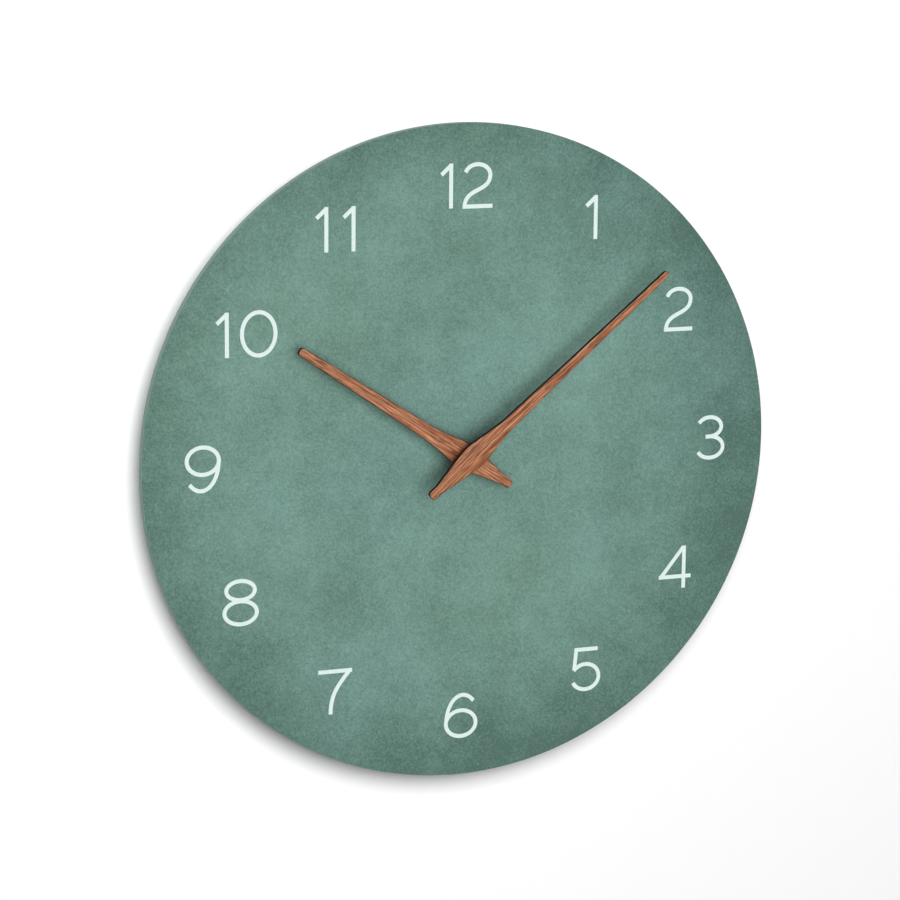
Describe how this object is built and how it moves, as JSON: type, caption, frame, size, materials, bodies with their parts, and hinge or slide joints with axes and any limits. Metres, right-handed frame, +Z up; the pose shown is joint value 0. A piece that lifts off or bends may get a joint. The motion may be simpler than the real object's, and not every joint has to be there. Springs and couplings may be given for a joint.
{
  "type": "wall clock",
  "caption": "Round wall clock with a painted board dial, figures on a ring, tapered wooden hands and a battery quartz movement behind.",
  "frame": {"origin": "centre of the hanging hole, on the plane of the wall", "axes": "+Z up, +Y into the wall, so the dial faces -Y and +X is to the right of someone reading the clock"},
  "size_m": [0.3, 0.0325, 0.3],
  "materials": {
    "dial_paint": "medium-density fibreboard with a mottled grey-green matt paint",
    "numeral_film": "cut vinyl film, satin white",
    "hand_wood": "reddish-brown open-pored hardwood, laser cut, oiled",
    "case_plastic": "moulded black ABS",
    "brass": "turned",
    "white_acetal": "moulded",
    "ivory_acetal": "moulded",
    "steel": "ground",
    "spring_steel": "nickel-plated strip",
    "magnet": "sintered ferrite",
    "stator_iron": "stamped",
    "bobbin_nylon": "moulded",
    "copper_wire": "enamelled copper wire",
    "board_laminate": "glass-epoxy laminate",
    "epoxy": "poured epoxy",
    "crystal_can": "drawn can",
    "battery_can": "nickel-plated",
    "battery_film": "plain shrink sleeve",
    "rubber": "moulded"
  },
  "bodies": {
    "clock_body": {"front_case": "case_plastic", "back_cover": "case_plastic", "mid_plate": "white_acetal", "threaded_bush": "brass", "stator": "stator_iron", "coil_core": "stator_iron", "coil_bobbin": "bobbin_nylon", "coil_winding": "copper_wire", "circuit_board": "board_laminate", "chip_blob": "epoxy", "quartz_crystal": "crystal_can", "contact_negative": "spring_steel", "contact_positive": "spring_steel", "rubber_washer": "rubber", "dial_disc": "dial_paint", "numerals": "numeral_film", "flat_washer": "brass", "ring_nut": "brass"},
    "rotor": {"rotor_magnet": "magnet", "rotor_pinion": "white_acetal"},
    "intermediate": {"intermediate_wheel": "ivory_acetal"},
    "seconds": {"seconds_wheel": "white_acetal", "seconds_arbor": "steel"},
    "third": {"third_wheel": "ivory_acetal"},
    "centre": {"centre_wheel": "white_acetal"},
    "minute": {"cannon_pinion": "white_acetal", "clutch_spring": "brass", "minute_hand_hub": "brass", "minute_hand": "hand_wood"},
    "motion": {"motion_wheel": "ivory_acetal"},
    "hour": {"hour_wheel": "white_acetal", "hour_hand_hub": "brass", "hour_hand": "hand_wood"},
    "setting": {"setting_pinion": "ivory_acetal", "setting_knob": "ivory_acetal"},
    "battery": {"battery_cell": "battery_can", "battery_sleeve": "battery_film"}
  },
  "joints": [
    {"name": "seconds_turn", "type": "hinge", "parent": "clock_body", "child": "seconds", "pos_m": [0, -0.01, -0.035], "axis": [0, 1, 0], "continuous": true},
    {"name": "rotor_turn", "type": "hinge", "parent": "clock_body", "child": "rotor", "pos_m": [0.01444, -0.01, -0.029], "axis": [0, 1, 0], "continuous": true},
    {"name": "intermediate_turn", "type": "hinge", "parent": "clock_body", "child": "intermediate", "pos_m": [0.00923, -0.01, -0.03337], "axis": [0, 1, 0], "continuous": true},
    {"name": "third_turn", "type": "hinge", "parent": "clock_body", "child": "third", "pos_m": [0, -0.01, -0.026], "axis": [0, 1, 0], "continuous": true},
    {"name": "centre_turn", "type": "hinge", "parent": "clock_body", "child": "centre", "pos_m": [0, -0.01, -0.035], "axis": [0, 1, 0], "continuous": true},
    {"name": "minute_turn", "type": "hinge", "parent": "clock_body", "child": "minute", "pos_m": [0, -0.025, -0.035], "axis": [0, 1, 0], "continuous": true},
    {"name": "motion_turn", "type": "hinge", "parent": "clock_body", "child": "motion", "pos_m": [-0.00752, -0.01, -0.03774], "axis": [0, 1, 0], "continuous": true},
    {"name": "hour_turn", "type": "hinge", "parent": "clock_body", "child": "hour", "pos_m": [0, -0.025, -0.035], "axis": [0, 1, 0], "continuous": true},
    {"name": "knob_turn", "type": "hinge", "parent": "clock_body", "child": "setting", "pos_m": [-0.01266, -0.01, -0.03161], "axis": [0, 1, 0], "continuous": true},
    {"name": "battery_slide", "type": "slide", "parent": "clock_body", "child": "battery", "axis": [0, 1, 0], "range_m": [0, 0.018]}
  ],
  "couplings": [
    {"joint": "rotor_turn", "follows": "seconds_turn", "ratio": 30},
    {"joint": "intermediate_turn", "follows": "seconds_turn", "ratio": -4},
    {"joint": "third_turn", "follows": "seconds_turn", "ratio": -0.125},
    {"joint": "centre_turn", "follows": "seconds_turn", "ratio": 0.016667},
    {"joint": "motion_turn", "follows": "minute_turn", "ratio": -0.33333},
    {"joint": "hour_turn", "follows": "minute_turn", "ratio": 0.083333},
    {"joint": "knob_turn", "follows": "minute_turn", "ratio": 1}
  ]
}
